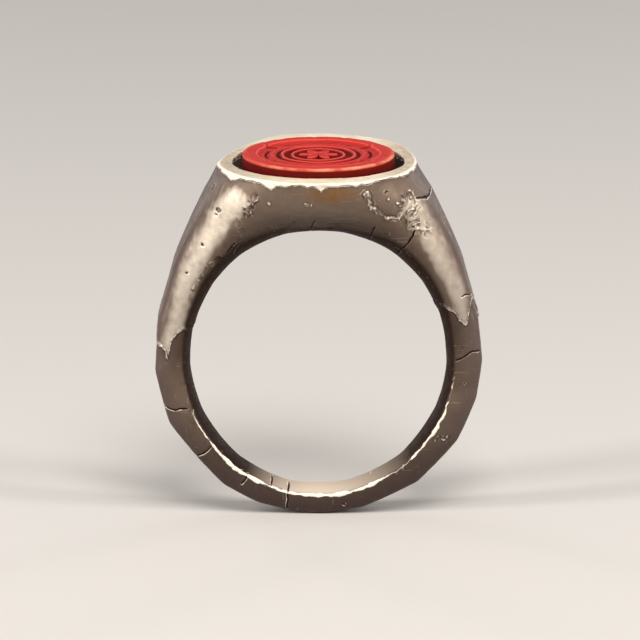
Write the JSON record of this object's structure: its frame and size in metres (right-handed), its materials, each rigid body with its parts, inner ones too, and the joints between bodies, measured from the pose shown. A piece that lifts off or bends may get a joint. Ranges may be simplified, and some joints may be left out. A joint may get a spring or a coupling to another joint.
{
  "type": "signet ring",
  "caption": "Worn silver signet ring with flared shoulders, a soldered bezel rim and a round carved red seal disc standing proud in its pocket.",
  "frame": {"origin": "centre of the finger hole", "axes": "+Z towards the seal's face, +Y along the finger from the front face to the back face, +X to the right across the ring seen from the front"},
  "size_m": [0.0234, 0.0146, 0.0262],
  "materials": {
    "aged_silver": "aged silver, satin, dull grey-brown with brighter worn edges",
    "worn_silver": "pale worn silver, chipped",
    "tarnished_silver": "dark tarnish",
    "setting_resin": "dark brown setting resin, matt",
    "red_stone": "opaque red carved stone, satin"
  },
  "bodies": {
    "root": {"shank": "aged_silver", "head": "aged_silver", "bezel_rim": "worn_silver", "seat_plate": "tarnished_silver", "setting_cement": "setting_resin", "seal_disc": "red_stone"}
  },
  "joints": []
}
